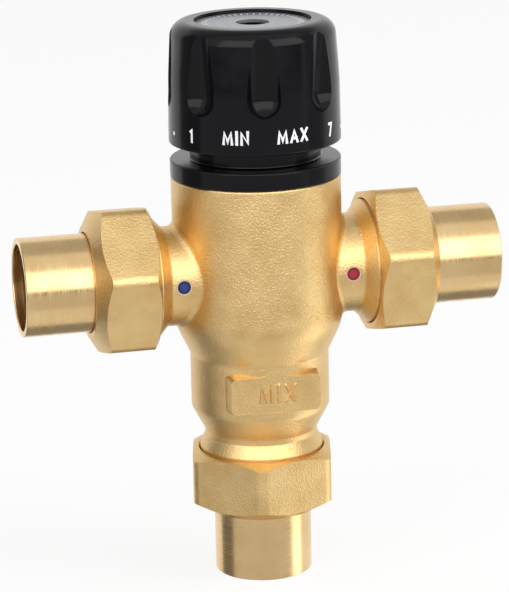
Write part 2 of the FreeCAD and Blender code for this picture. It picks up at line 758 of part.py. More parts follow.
def plunger():
    """Hexagonal plunger: the stem's thread screws it up and down."""
    outside = rod(PLUNGER_SKIRT_R, PLUNGER_FOOT_Z, PLUNGER_TOP_Z - 1)
    outside = outside.fuse(hexagon(PLUNGER_FLATS, PLUNGER_TOP_Z - PLUNGER_HEX, PLUNGER_TOP_Z))
    low = PLUNGER_FOOT_Z + RETAINER_LIFT
    return lift(outside.cut([
        rod(SCREW_THREAD_R + PLUNGER_FIT, PLUNGER_FOOT_Z, PLUNGER_TOP_Z + 1),
        rod(SPRING_WELL_R, PLUNGER_FOOT_Z - 1, SPRING_WELL_TOP_Z),
        rod(RETAINER_R, low, low + RETAINER)]))


def plunger_retainer():
    """Ring in the plunger's foot that keeps the spring cup in."""
    low = PLUNGER_FOOT_Z + RETAINER_LIFT
    return lift(tube(RETAINER_R, RETAINER_BORE_R, low, low + RETAINER))


def cup_floor_z():
    """Level of the spring cup's underside."""
    return PLUNGER_FOOT_Z + RETAINER_LIFT + RETAINER


def spring_cup():
    """Cup that passes the spring's force to the capsule's piston."""
    low = cup_floor_z()
    cup = turned([
        (0, low),
        (CUP_R, low),
        (CUP_R, low + CUP_FLANGE),
        (CUP_BOSS_R, low + CUP_FLANGE),
        (CUP_BOSS_R, low + CUP_HEIGHT, 0.6),
        (0, low + CUP_HEIGHT)])
    return lift(cup.cut(rod(PISTON_R + PISTON_FIT, low - 1, low + CUP_HOLE_DEPTH)))


def overtravel_spring():
    """Spring inside the plunger, which gives way if the capsule overheats."""
    low = cup_floor_z() + CUP_FLANGE
    return lift(coil_spring(OVERTRAVEL_R, OVERTRAVEL_WIRE_R, OVERTRAVEL_TURNS, low, SPRING_WELL_TOP_Z))


# --- shutter and capsule --------------------------------------------------------------------------

def shutter():
    """Sleeve that opens the hot seat as it closes the cold one, with a four-arm web."""
    outer = LAND_R - SHUTTER_FIT
    inner = outer - SHUTTER_WALL
    sleeve = tube(outer, inner, -SHUTTER_HALF, SHUTTER_HALF)
    rim = tube(outer - SHUTTER_WALL / 2, RIM_IN_R, -WEB_HALF, WEB_HALF)
    hub = rod(WEB_HUB_R, -WEB_HALF, WEB_HALF)
    piece = sleeve.fuse([rim, hub])
    for i in range(4):
        arm = Part.makeBox(RIM_IN_R + 1, WEB_ARM, 2 * WEB_HALF, Vector(0, -WEB_ARM / 2, -WEB_HALF))
        arm.rotate(Vector(), UP, 90 * i + 45)
        piece = piece.fuse(arm)
    piece = piece.cut([
        rod(CAPSULE_GUIDE_R + CAPSULE_FIT, -WEB_HALF - 1, WEB_HALF + 1),
        seal_groove(outer, SEAL_CORD_R, 0)])
    return lift(piece.removeSplitter())


def shutter_o_ring():
    """Seal between the hot and cold chambers."""
    return lift(o_ring(LAND_R - SEAL_SQUEEZE - SEAL_CORD_R, SEAL_CORD_R, 0))


def wax_capsule():
    """Copper cup with its flange and piston guide, in the mixed water."""
    capsule = turned([
        (0, CAPSULE_FOOT_Z),
        (CAPSULE_R, CAPSULE_FOOT_Z, CAPSULE_ROUND),
        (CAPSULE_R, -WEB_HALF - CAPSULE_FLANGE),
        (CAPSULE_FLANGE_R, -WEB_HALF - CAPSULE_FLANGE),
        (CAPSULE_FLANGE_R, -WEB_HALF),
        (CAPSULE_GUIDE_R, -WEB_HALF),
        (CAPSULE_GUIDE_R, CAPSULE_GUIDE_TOP_Z, 0.4),
        (0, CAPSULE_GUIDE_TOP_Z)])
    return lift(capsule.cut(rod(PISTON_R + PISTON_FIT, PISTON_FOOT_Z, CAPSULE_GUIDE_TOP_Z + 1)))


def capsule_piston():
    """Steel pin that the wax pushes out against the spring cup."""
    return lift(rod(PISTON_R, PISTON_FOOT_Z, cup_floor_z() + CUP_HOLE_DEPTH))


def return_spring():
    """Spring round the capsule that keeps shutter, capsule and plunger in touch."""
    return lift(coil_spring(RETURN_R, RETURN_WIRE_R, RETURN_TURNS, SPRING_LEDGE_Z, -WEB_HALF - SPRING_END_GAP))


# --- the assembly -------------------------------------------------------------------------------------

def all_nodes():
    """Every piece of the valve by name, in its place."""
    nodes = {
        "valve_body": valve_body(),
        "locking_ring": locking_ring(),
        "headwork": headwork(),
        "headwork_o_ring": headwork_o_ring(),
        "stem": stem(),
        "stem_clip": stem_clip(),
        "stem_o_ring_lower": stem_o_ring(STEM_SEAL_LOW_Z),
        "stem_o_ring_upper": stem_o_ring(STEM_SEAL_HIGH_Z),
        "knob": knob(),
        "knob_disc": knob_disc(),
        "knob_screw": knob_screw(),
        "plunger": plunger(),
        "plunger_retainer": plunger_retainer(),
        "spring_cup": spring_cup(),
        "overtravel_spring": overtravel_spring(),
        "shutter": shutter(),
        "shutter_o_ring": shutter_o_ring(),
        "wax_capsule": wax_capsule(),
        "capsule_piston": capsule_piston(),
        "return_spring": return_spring(),
        "union_nut_mix": to_outlet(union_nut(90 - MIX_NUT_TURN)),
        "tailpiece_mix": to_outlet(tailpiece()),
        "gasket_mix": to_outlet(gasket()),
    }
    pocket = SIDE_REACH - CHECK_POCKET_DEPTH
    for name, side, turn in (("hot", 1, HOT_NUT_TURN), ("cold", -1, COLD_NUT_TURN)):
        nodes["union_nut_" + name] = to_inlet(union_nut(90 - side * turn), side, SIDE_REACH)
        nodes["tailpiece_" + name] = to_inlet(tailpiece(), side, SIDE_REACH)
        nodes["gasket_" + name] = to_inlet(gasket(), side, SIDE_REACH)
        nodes["check_cage_" + name] = to_inlet(check_cage(), side, pocket)
        nodes["check_poppet_" + name] = to_inlet(check_poppet(), side, pocket)
        nodes["check_spring_" + name] = to_inlet(check_spring(), side, pocket)
        nodes[name + "_mark"] = lift(mark_disc(side, MARK_R))
    return nodes


def main():
    """Write one STEP file for each piece."""
    os.makedirs("parts", exist_ok=True)
    for name, shape in all_nodes().items():
        shape.exportStep("parts/" + name + ".step")


main()
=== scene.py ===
import json
import math

import bmesh
import bpy
from mathutils import Matrix, Vector
from mathutils.bvhtree import BVHTree


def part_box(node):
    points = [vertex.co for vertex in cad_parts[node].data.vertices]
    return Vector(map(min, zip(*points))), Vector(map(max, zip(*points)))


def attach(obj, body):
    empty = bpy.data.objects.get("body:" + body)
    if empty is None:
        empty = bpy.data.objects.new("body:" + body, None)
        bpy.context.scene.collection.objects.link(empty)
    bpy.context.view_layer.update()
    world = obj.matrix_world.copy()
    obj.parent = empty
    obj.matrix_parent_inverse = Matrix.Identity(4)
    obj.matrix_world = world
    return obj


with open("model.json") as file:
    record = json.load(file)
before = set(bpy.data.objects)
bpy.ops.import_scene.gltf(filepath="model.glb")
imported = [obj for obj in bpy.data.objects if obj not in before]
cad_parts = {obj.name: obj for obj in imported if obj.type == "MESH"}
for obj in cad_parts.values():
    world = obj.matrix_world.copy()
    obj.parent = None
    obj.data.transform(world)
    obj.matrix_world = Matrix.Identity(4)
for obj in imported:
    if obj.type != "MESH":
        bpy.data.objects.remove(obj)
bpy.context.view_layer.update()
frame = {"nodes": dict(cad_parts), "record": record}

bl_info = {
    "name": "Thermostatic mixing valve",
    "version": (1, 0, 0),
    "blender": (4, 5, 0),
    "location": "3D View > Sidebar > Mixing Valve",
    "description": "Finishes, dial marks, forged letters and studio for a brass mixing valve",
    "category": "Object",
}

MM = 0.001
UNIONS = ("hot", "cold", "mix")


def middle(node):
    """Centre of a CAD node's box."""
    low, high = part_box(node)
    return (low + high) / 2


AXIS_Z = middle("tailpiece_hot").z
KNOB_FOOT_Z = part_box("knob")[0].z
DISC_TOP_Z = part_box("knob_disc")[1].z
DISC_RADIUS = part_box("knob_disc")[1].x


# --- colour and node helpers ---------------------------------------------------------

def linear(code):
    """An sRGB hex value as linear colour."""
    channels = [int(code[i:i + 2], 16) / 255 for i in (0, 2, 4)]
    shades = [c / 12.92 if c <= 0.04045 else ((c + 0.055) / 1.055) ** 2.4 for c in channels]
    return tuple(shades + [1.0])


def add(tree, kind, inputs=None, **settings):
    """Adds a node with its settings, values and links."""
    node = tree.nodes.new(kind)
    for name, value in settings.items():
        setattr(node, name, value)
    for key, value in (inputs or {}).items():
        socket = node.inputs[key]
        if isinstance(value, bpy.types.NodeSocket):
            tree.links.new(value, socket)
        else:
            socket.default_value = value
    return node


def new_material(name):
    """An empty node material and its tree."""
    made = bpy.data.materials.new(name)
    made.use_nodes = True
    made.node_tree.nodes.clear()
    return made, made.node_tree


def close(tree, shader):
    """Links a shader to the material's output."""
    add(tree, "ShaderNodeOutputMaterial", {"Surface": shader.outputs[0]})


def noise(tree, size_mm, detail=2.0, stretch=(1.0, 1.0, 1.0)):
    """Noise whose cells are size_mm across, stretched along the axes."""
    place = add(tree, "ShaderNodeTexCoord")
    laid = add(tree, "ShaderNodeMapping", {"Vector": place.outputs["Object"], "Scale": stretch})
    return add(tree, "ShaderNodeTexNoise", {"Vector": laid.outputs[0], "Scale": 1 / (size_mm * MM),
                                            "Detail": detail, "Roughness": 0.55}).outputs["Fac"]


def spread(tree, value, low, high):
    """Maps the middle of a noise onto the range low to high."""
    return add(tree, "ShaderNodeMapRange", {"Value": value, "From Min": 0.3, "From Max": 0.7,
                                            "To Min": low, "To Max": high}).outputs[0]


def blend_colours(tree, share, first, second):
    """Colour between two hex values."""
    mixed = add(tree, "ShaderNodeMix", data_type="RGBA")
    tree.links.new(share, mixed.inputs[0])
    mixed.inputs[6].default_value = linear(first)
    mixed.inputs[7].default_value = linear(second)
    return mixed.outputs[2]


def relief(tree, height, depth_mm, under=None):
    """Bump of a real depth, on top of another one."""
    inputs = {"Height": height, "Distance": depth_mm * MM, "Strength": 1.0}
    if under is not None:
        inputs["Normal"] = under
    return add(tree, "ShaderNodeBump", inputs).outputs[0]


# --- finishes ------------------------------------------------------------------------

GRIT_PER_PEEN = 2.5      # grit grains across one peened dent
ROUGHNESS_SWING = 0.04   # either side of a plain finish's roughness
CENTRE_HIGHLIGHT_SPAN = (0.35, 0.8)       # shares of a mark's radius over which the painted highlight in its middle fades to its rim's tone
RIM_HIGHLIGHT_SPAN = (0.86, 0.9)        # and over which the painted pale highlight round its edge begins
# tone of the painted highlight round a mark's edge
RIM_HIGHLIGHT_TONE = "e4cdb4"

# slot of an inner piece: its material, two tones, metallic, roughness, grain size and depth in mm
INNER_FINISHES = {
    # turned brass: bright, its tool lines drawn as a fine grain
    "machined_brass": ("machined_brass", "cfb077", "dcc08c", 1.0, 0.24, 0.4, 0.003),
    # drawn stainless steel: pale grey and bright
    "stainless_steel": ("drawn_stainless_wire", "b5b5b3", "c6c6c4", 1.0, 0.26, 0.5, 0.003),
    # moulded rubber: matt, nearly black
    "black_rubber": ("moulded_epdm_rubber", "141414", "1d1d1d", 0.0, 0.62, 0.3, 0.01),
    # pressed fibre sheet: dull green, with a felted grain
    "green_fibre": ("pressed_fibre_sheet", "2f5145", "436a5b", 0.0, 0.8, 0.5, 0.03),
    # moulded acetal: milky white with a soft shine
    "white_acetal": ("moulded_acetal", "dddbd2", "e8e6de", 0.0, 0.38, 2.0, 0.01),
    # moulded polysulfone: dark grey, smooth
    "grey_polymer": ("moulded_psu_polymer", "45494c", "50555a", 0.0, 0.4, 2.0, 0.01),
    # drawn copper cup: reddish and bright, drawn smooth
    "copper": ("drawn_copper_cup", "b8714f", "c9825d", 1.0, 0.28, 1.0, 0.005),
}


def shot_blasted_brass(look):
    """Forging brass CW617N, hot forged and shot blasted: satin, with a peened skin that
    breaks highlights into grains of about half a millimetre."""
    made, tree = new_material("shot_blasted_forging_brass")
    peen_mm = look.peen_size / MM
    patches = noise(tree, size_mm=7.0, detail=3.0)
    peen = noise(tree, size_mm=peen_mm, detail=2.0)
    grit = noise(tree, size_mm=peen_mm / GRIT_PER_PEEN, detail=2.0)
    dents = relief(tree, peen, depth_mm=look.peen_depth / MM)
    tone = blend_colours(tree, spread(tree, patches, 0, 1), look.forged_deep, look.forged_pale)
    shader = add(tree, "ShaderNodeBsdfPrincipled", {
        "Base Color": tone, "Metallic": 1.0, "Roughness": spread(tree, patches, 0.33, 0.4),
        "Normal": relief(tree, grit, depth_mm=0.03, under=dents)})
    close(tree, shader)
    return made


def turned_brass(name, look, stretch):
    """Bar brass turned on a lathe: bright, with fine lines round the axis. The real feed
    is about 0.1 mm and is drawn at 0.4 mm, as coarse as it needs to show."""
    made, tree = new_material(name)
    lines = noise(tree, size_mm=0.4, detail=3.0, stretch=stretch)
    stain = noise(tree, size_mm=9.0, detail=3.0)
    tone = blend_colours(tree, spread(tree, stain, 0, 1), look.turned_deep, look.turned_pale)
    shader = add(tree, "ShaderNodeBsdfPrincipled", {
        "Base Color": tone, "Metallic": 1.0, "Roughness": spread(tree, lines, 0.17, 0.3),
        "Normal": relief(tree, lines, depth_mm=0.003)})
    close(tree, shader)
    return made


def glossy_abs(look):
    """Moulded black ABS: nearly mirror gloss over a deep black, with the faint waviness
    of a moulding."""
    made, tree = new_material("moulded_black_abs")
    wave = noise(tree, size_mm=5.0, detail=1.0)
    shader = add(tree, "ShaderNodeBsdfPrincipled", {
        "Base Color": blend_colours(tree, wave, look.deep_black, look.pale_black),
        "Roughness": spread(tree, wave, 0.15, 0.2), "IOR": 1.31,
        "Normal": relief(tree, wave, depth_mm=0.02)})
    close(tree, shader)
    return made


def plain_finish(name, first, second, metallic, roughness, grain_mm, depth_mm):
    """Finish of a simple piece: two near tones and a grain of a real size."""
    made, tree = new_material(name)
    grain = noise(tree, size_mm=grain_mm, detail=2.0)
    shader = add(tree, "ShaderNodeBsdfPrincipled", {
        "Base Color": blend_colours(tree, grain, first, second), "Metallic": metallic,
        "Roughness": spread(tree, grain, roughness - ROUGHNESS_SWING, roughness + ROUGHNESS_SWING),
        "Normal": relief(tree, grain, depth_mm)})
    close(tree, shader)
    return made


def enamel(name, node, rim, highlight_tone):
    """Stove enamel poured into a round recess: a painted highlight lightens its middle and fades to
    its deeper rim tone, and a painted pale highlight lies round it on the recess's brass edge."""
    made, tree = new_material(name)
    low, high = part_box(node)
    edge = (high.z - low.z) / 2
    place = add(tree, "ShaderNodeTexCoord").outputs["Object"]
    apart = add(tree, "ShaderNodeVectorMath", {0: place, 1: middle(node)}, operation="SUBTRACT").outputs[0]
    radius = add(tree, "ShaderNodeVectorMath", {0: apart}, operation="LENGTH").outputs["Value"]
    # painted highlight: the middle is lighter and fades out to the rim's tone, then the pale edge
    # highlight takes over
    deep, rim_highlight_share = (add(tree, "ShaderNodeMapRange", {
        "Value": radius, "From Min": start * edge, "From Max": end * edge}).outputs[0]
        for start, end in (CENTRE_HIGHLIGHT_SPAN, RIM_HIGHLIGHT_SPAN))
    mixed = add(tree, "ShaderNodeMix", data_type="RGBA")
    tree.links.new(rim_highlight_share, mixed.inputs[0])
    tree.links.new(blend_colours(tree, deep, highlight_tone, rim), mixed.inputs[6])
    mixed.inputs[7].default_value = linear(RIM_HIGHLIGHT_TONE)
    shader = add(tree, "ShaderNodeBsdfPrincipled", {"Base Color": mixed.outputs[2], "Roughness": 0.18})
    close(tree, shader)
    return made


def paint_node(node, material):
    """Gives a CAD node its finish."""
    for place in frame["nodes"][node].material_slots:
        place.material = material


# --- mesh helpers --------------------------------------------------------------------

def surface_of(node):
    """A CAD node's surface, for laying marks on it."""
    mesh = frame["nodes"][node].data
    return BVHTree.FromPolygons([v.co for v in mesh.vertices], [p.vertices for p in mesh.polygons])


PRINT_RADIUS = 22 * MM    # about the radius of the knob's wall where its scale lies
PRINT_SLICE = 0.35 * MM   # widest flat strip of the print bent round it
PRINT_WIDTH = 0.72        # printed letters' width against the plain ones
FORGED_WIDTH = 0.7        # and the forged letters'
LETTER_GAP = 0.14         # between letters, as a share of their height
FOOT_GAP = 2.6            # more between sloped letters, in slopes
MITRE_LIMIT = 0.42        # least cosine at a corner: a sharper one has its point cut short
STROKE_STEP = 0.02        # each stroke's rise above the one before, as a share
ARC_STEPS = 14

# plain upright letters as pen strokes on a grid 1 wide and 1 high: a letter's own width, then
# its strokes, each a row of points
GLYPHS = {
    "M": (1.0, [[(0, 0), (0.1, 1), (0.5, 0.12), (0.9, 1), (1, 0)]]),
    "I": (0.0, [[(0, 0), (0, 1)]]),
    "N": (0.72, [[(0, 0), (0, 1), (1, 0), (1, 1)]]),
    "A": (0.78, [[(0, 0), (0.5, 1), (1, 0)], [(0.18, 0.3), (0.82, 0.3)]]),
    "X": (0.74, [[(0, 0), (1, 1)], [(0, 1), (1, 0)]]),
    "1": (0.26, [[(0, 0.84), (0.75, 1), (0.75, 0)]]),
    "4": (0.6, [[(0.72, 0), (0.72, 1), (0, 0.28), (1, 0.28)]]),
    "7": (0.56, [[(0, 1), (1, 1), (0.3, 0)]]),
}
# letters with arcs: the width, then each arc's middle, half sizes and angles, then the strokes
ARCS = {
    "2": (0.54, [(0.5, 0.72, 0.5, 0.28, 165, -38)], [[(0.89, 0.55), (0, 0), (1, 0)]]),
    "3": (0.52, [(0.45, 0.76, 0.5, 0.24, 150, -90), (0.45, 0.27, 0.55, 0.27, 90, -150)], []),
    "5": (0.54, [(0.42, 0.33, 0.58, 0.33, 120, -145)], [[(0.92, 1), (0.2, 1), (0.13, 0.6)]]),
    "6": (0.56, [(0.5, 0.31, 0.5, 0.31, 0, 360)], [[(0.04, 0.42), (0.62, 1)]]),
}


def arc_points(x, y, across, tall, start, end):
    """Points along an arc of an ellipse, angles in degrees."""
    turns = [math.radians(start + (end - start) * i / ARC_STEPS) for i in range(ARC_STEPS + 1)]
    return [(x + across * math.cos(t), y + tall * math.sin(t)) for t in turns]


def strokes_of(letter):
    """A letter's width and its strokes."""
    if letter in GLYPHS:
        return GLYPHS[letter]
    width, arcs, lines = ARCS[letter]
    return width, [arc_points(*arc) for arc in arcs] + lines


def stroke_outline(points, pen, past, limit):
    """Band of a pen's width along a row of points, mitred at its corners, running past
    its ends and cut flat at the limit above and below."""
    row = list(points)
    row[0] = points[0] + (points[0] - points[1]).normalized() * past
    row[-1] = points[-1] + (points[-1] - points[-2]).normalized() * past
    sides = ([], [])
    for i, point in enumerate(row):
        before = (point - row[i - 1]).normalized() if i else None
        after = (row[i + 1] - point).normalized() if i + 1 < len(row) else None
        first = before or after
        second = after or before
        across = Vector((-first.y - second.y, first.x + second.x)).normalized()
        reach = pen / 2 / max(MITRE_LIMIT, across.dot(Vector((-first.y, first.x))))
        for side, way in zip(sides, (1, -1)):
            corner = point + across * reach * way
            side.append(Vector((corner.x, max(-limit, min(limit, corner.y)))))
    return sides


def word_mesh(word, height, width_share, pen, rise, slope=0.0):
    """A word as a mesh of pen strokes, centred on the origin and facing +Z. Printed strokes
    reach as far below zero as above it, and forged ones slope out to a foot at zero."""
    made = bmesh.new()
    tall = height - pen
    place = 0.0
    layer = 0
    for letter in word:
        width, strokes = strokes_of(letter)
        for stroke in strokes:
            points = [Vector((place + x * width * tall * width_share, (y - 0.5) * tall))
                      for x, y in stroke]
            crest = stroke_outline(points, pen, pen / 2 - slope, height / 2)
            foot = stroke_outline(points, pen + 2 * slope, pen / 2 + slope, height / 2 + slope)
            # crossing strokes stand a hair apart, so that no two faces lie in one plane
            top = rise * (1 + STROKE_STEP * layer)
            layer += 1
            for i in range(len(points) - 1):
                rings = []
                for (left, right), level in ((crest, top), (foot, 0.0 if slope else -top)):
                    ring = (left[i], right[i], right[i + 1], left[i + 1])
                    rings.append([made.verts.new((p.x, p.y, level)) for p in ring])
                upper, lower = rings
                made.faces.new(upper)
                made.faces.new(lower[::-1])
                for k in range(4):
                    n = (k + 1) % 4
                    made.faces.new((upper[k], lower[k], lower[n], upper[n]))
        place += width * tall * width_share + pen + LETTER_GAP * height + FOOT_GAP * slope
    xs = [v.co.x for v in made.verts]
    shift = (max(xs) + min(xs)) / 2
    bmesh.ops.translate(made, verts=made.verts, vec=(-shift, 0, 0))
    return made


def slice_across(made, step):
    """Cuts a mesh across X at even steps, so that it can bend round a knob."""
    xs = [v.co.x for v in made.verts]
    place = min(xs) + step
    while place < max(xs):
        everything = made.verts[:] + made.edges[:] + made.faces[:]
        bmesh.ops.bisect_plane(made, geom=everything, plane_co=(place, 0, 0), plane_no=(1, 0, 0))
        place += step


def wrap_round(made, surface, angle, level):
    """Lays a mesh on the knob's wall, centred at an angle from the front towards +X."""
    for v in made.verts:
        turn = angle + v.co.x / PRINT_RADIUS
        outward = Vector((math.sin(turn), -math.cos(turn), 0))
        start = outward * (2 * PRINT_RADIUS) + Vector((0, 0, level + v.co.y))
        hit = surface.ray_cast(start, -outward)[0]
        if hit is None:
            raise RuntimeError("a dial mark misses the surface it lies on")
        v.co = hit + outward * v.co.z


def finish_piece(name, made, material, body):
    """Turns a bmesh into a piece that rides on a body."""
    bmesh.ops.triangulate(made, faces=made.faces)
    bmesh.ops.recalc_face_normals(made, faces=made.faces)
    mesh = bpy.data.meshes.new(name)
    made.to_mesh(mesh)
    made.free()
    for face in mesh.polygons:
        face.use_smooth = False
    mesh.materials.append(material)
    piece = bpy.data.objects.new(name, mesh)
    bpy.context.scene.collection.objects.link(piece)
    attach(piece, body)


# --- repeated marks, as a Geometry Nodes tree ----------------------------------------

def tick_ring_tree(ink):
    """Tree that sets ticks on a ring, each lying along its radius."""
    tree = bpy.data.node_groups.new("disc_ticks", "GeometryNodeTree")
    tree.interface.new_socket("Count", in_out="INPUT", socket_type="NodeSocketInt")
    for label in ("Step", "Radius", "Height", "Tick width", "Tick length", "Tick thickness"):
        tree.interface.new_socket(label, in_out="INPUT", socket_type="NodeSocketFloat")
    tree.interface.new_socket("Geometry", in_out="OUTPUT", socket_type="NodeSocketGeometry")
    given = add(tree, "NodeGroupInput").outputs
    index = add(tree, "GeometryNodeInputIndex").outputs[0]
    turned = add(tree, "ShaderNodeMath", {0: index, 1: given["Step"]}, operation="MULTIPLY").outputs[0]
    sine = add(tree, "ShaderNodeMath", {0: turned}, operation="SINE").outputs[0]
    cosine = add(tree, "ShaderNodeMath", {0: turned}, operation="COSINE").outputs[0]
    across = add(tree, "ShaderNodeMath", {0: sine, 1: given["Radius"]}, operation="MULTIPLY").outputs[0]
    inward = add(tree, "ShaderNodeMath", {0: given["Radius"], 1: -1.0}, operation="MULTIPLY").outputs[0]
    along = add(tree, "ShaderNodeMath", {0: cosine, 1: inward}, operation="MULTIPLY").outputs[0]
    spot = add(tree, "ShaderNodeCombineXYZ", {"X": across, "Y": along, "Z": given["Height"]}).outputs[0]
    points = add(tree, "GeometryNodePoints", {"Count": given["Count"], "Position": spot}).outputs[0]
    facing = add(tree, "ShaderNodeCombineXYZ", {"Z": turned}).outputs[0]
    size = add(tree, "ShaderNodeCombineXYZ", {
        "X": given["Tick width"], "Y": given["Tick length"], "Z": given["Tick thickness"]}).outputs[0]
    tick = add(tree, "GeometryNodeMeshCube", {"Size": size}).outputs[0]
    copies = add(tree, "GeometryNodeInstanceOnPoints",
                 {"Points": points, "Instance": tick, "Rotation": facing}).outputs[0]
    real = add(tree, "GeometryNodeRealizeInstances", {"Geometry": copies}).outputs[0]
    painted = add(tree, "GeometryNodeSetMaterial", {"Geometry": real, "Material": ink}).outputs[0]
    add(tree, "NodeGroupOutput", {"Geometry": painted})
    return tree


def grow(tree, values):
    """Runs a tree with the given inputs and returns its result as a bmesh."""
    holder = bpy.data.objects.new(tree.name, bpy.data.meshes.new(tree.name))
    bpy.context.scene.collection.objects.link(holder)
    modifier = holder.modifiers.new("ring", "NODES")
    modifier.node_group = tree
    for item in tree.interface.items_tree:
        if item.item_type == "SOCKET" and item.in_out == "INPUT":
            modifier[item.identifier] = values[item.name]
    graph = bpy.context.evaluated_depsgraph_get()
    mesh = bpy.data.meshes.new_from_object(holder.evaluated_get(graph))
    bpy.data.objects.remove(holder)
    made = bmesh.new()
    made.from_mesh(mesh)
    bpy.data.meshes.remove(mesh)
    return made


# --- settings ------------------------------------------------------------------------

class ValveBrassSettings(bpy.types.PropertyGroup):
    """Skin of the forged brass, and the brasses' tones."""
    peen_size: bpy.props.FloatProperty(
        name="Peen size", description="Width of one grain of the blasted skin",
        default=0.55 * MM, min=0.1 * MM, unit="LENGTH")
    peen_depth: bpy.props.FloatProperty(
        name="Peen depth", description="Depth of the blasted skin",
        default=0.12 * MM, min=0.0, unit="LENGTH")
    forged_deep: bpy.props.StringProperty(
        name="Forged deep", description="sRGB hex of the forged skin's deeper patches", default="dfbb7e")
    forged_pale: bpy.props.StringProperty(
        name="Forged pale", description="sRGB hex of the forged skin's paler patches", default="e9c98e")
    turned_deep: bpy.props.StringProperty(
        name="Turned deep", description="sRGB hex of the turned brass where it is dull", default="e2bf86")
    turned_pale: bpy.props.StringProperty(
        name="Turned pale", description="sRGB hex of the turned brass where it is clean", default="edcd98")


class ValveKnobSettings(bpy.types.PropertyGroup):
    """Tones of the black mouldings, the cover disc and the enamel marks."""
    deep_black: bpy.props.StringProperty(
        name="Deep black", description="sRGB hex of the mouldings", default="07070b")
    pale_black: bpy.props.StringProperty(
        name="Pale black", description="sRGB hex of the mouldings at their palest", default="0b0a0f")
    disc_deep: bpy.props.StringProperty(
        name="Disc deep", description="sRGB hex of the cover disc", default="6f7278")
    disc_pale: bpy.props.StringProperty(
        name="Disc pale", description="sRGB hex of the cover disc at its palest", default="7b7e84")
    # each mark's middle tone is lighter than its rim, as a painted highlight
    cold_rim: bpy.props.StringProperty(
        name="Cold rim", description="sRGB hex of the blue mark's rim", default="14143f")
    cold_highlight: bpy.props.StringProperty(
        name="Cold middle", description="sRGB hex of the blue mark's middle", default="2c4192")
    hot_rim: bpy.props.StringProperty(
        name="Hot rim", description="sRGB hex of the red mark's rim", default="7d0f22")
    hot_highlight: bpy.props.StringProperty(
        name="Hot middle", description="sRGB hex of the red mark's middle", default="b3283c")


class ValveDialSettings(bpy.types.PropertyGroup):
    """Scale printed round the knob."""
    zero: bpy.props.FloatProperty(
        name="Zero", description="Middle between MIN and MAX, from the front towards the hot side",
        default=math.radians(-6.7), subtype="ANGLE")
    end_word: bpy.props.FloatProperty(
        name="End words", description="MIN and MAX, either side of the zero",
        default=math.radians(19.3), subtype="ANGLE")
    end_number: bpy.props.FloatProperty(
        name="End numbers", description="1 and 7, either side of the zero",
        default=math.radians(53.1), subtype="ANGLE")
    letter_height: bpy.props.FloatProperty(
        name="Letter height", description="Height of words and numbers", default=3.7 * MM, unit="LENGTH")
    level: bpy.props.FloatProperty(
        name="Level", description="Middle of the marks above the knob's lower edge",
        default=4.7 * MM, unit="LENGTH")
    pen: bpy.props.FloatProperty(
        name="Pen", description="Width of the strokes", default=0.72 * MM, unit="LENGTH")
    dot: bpy.props.FloatProperty(
        name="Dot", description="Radius of a dot between two numbers", default=0.55 * MM, unit="LENGTH")
    number_drop: bpy.props.FloatProperty(
        name="Number drop", description="Numbers below the words", default=0.35 * MM, unit="LENGTH")
    dot_drop: bpy.props.FloatProperty(
        name="Dot drop", description="Dots below the words", default=1.1 * MM, unit="LENGTH")
    print_lift: bpy.props.FloatProperty(
        name="Print lift", description="How far the print stands on the knob",
        default=0.03 * MM, unit="LENGTH")


class ValveDiscSettings(bpy.types.PropertyGroup):
    """Ring of ticks on the cover disc."""
    count: bpy.props.IntProperty(name="Count", description="Number of ticks", default=48, min=1)
    inset: bpy.props.FloatProperty(
        name="Inset", description="Middle of the ticks inside the disc's edge", default=2.4 * MM,
        unit="LENGTH")
    width: bpy.props.FloatProperty(
        name="Width", description="Width of a tick", default=0.28 * MM, unit="LENGTH")
    length: bpy.props.FloatProperty(
        name="Length", description="Length of a tick", default=1.5 * MM, unit="LENGTH")
    thickness: bpy.props.FloatProperty(
        name="Thickness", description="Thickness of a tick, half of it in the disc",
        default=0.04 * MM, unit="LENGTH")


class ValveLetterSettings(bpy.types.PropertyGroup):
    """Letters forged on the outlet's pad."""
    height: bpy.props.FloatProperty(
        name="Height", description="Height of the letters", default=4.7 * MM, unit="LENGTH")
    pen: bpy.props.FloatProperty(
        name="Pen", description="Width of the strokes' crests", default=0.42 * MM, unit="LENGTH")
    slope: bpy.props.FloatProperty(
        name="Slope", description="How far their sides lean out at the foot", default=0.3 * MM,
        unit="LENGTH")
    rise: bpy.props.FloatProperty(
        name="Rise", description="How far they stand on the pad", default=0.42 * MM, unit="LENGTH")
    shift: bpy.props.FloatProperty(
        name="Shift", description="Their middle from the body's centre line", default=0.4 * MM,
        unit="LENGTH")
    level: bpy.props.FloatProperty(
        name="Level", description="Their middle below the inlets' axis", default=28.6 * MM, unit="LENGTH")


class ValveStageSettings(bpy.types.PropertyGroup):
    """Camera and studio."""
    azimuth: bpy.props.FloatProperty(
        name="Azimuth", description="Camera round the valve", default=math.radians(-13.3),
        subtype="ANGLE")
    elevation: bpy.props.FloatProperty(
        name="Elevation", description="Camera above level", default=math.radians(14.5), subtype="ANGLE")
    roll: bpy.props.FloatProperty(
        name="Roll", description="Turn of the camera about its own line", default=math.radians(-1.22),
        subtype="ANGLE")
    distance: bpy.props.FloatProperty(
        name="Distance", description="Camera to the inlets' axis", default=734 * MM, unit="LENGTH")
    lens: bpy.props.FloatProperty(
        name="Lens", description="Focal length in millimetres", default=172.28, unit="CAMERA")
    ambient: bpy.props.FloatProperty(
        name="Ambient", description="Strength of the even light on matt surfaces", default=0.55)


# --- operators -----------------------------------------------------------------------

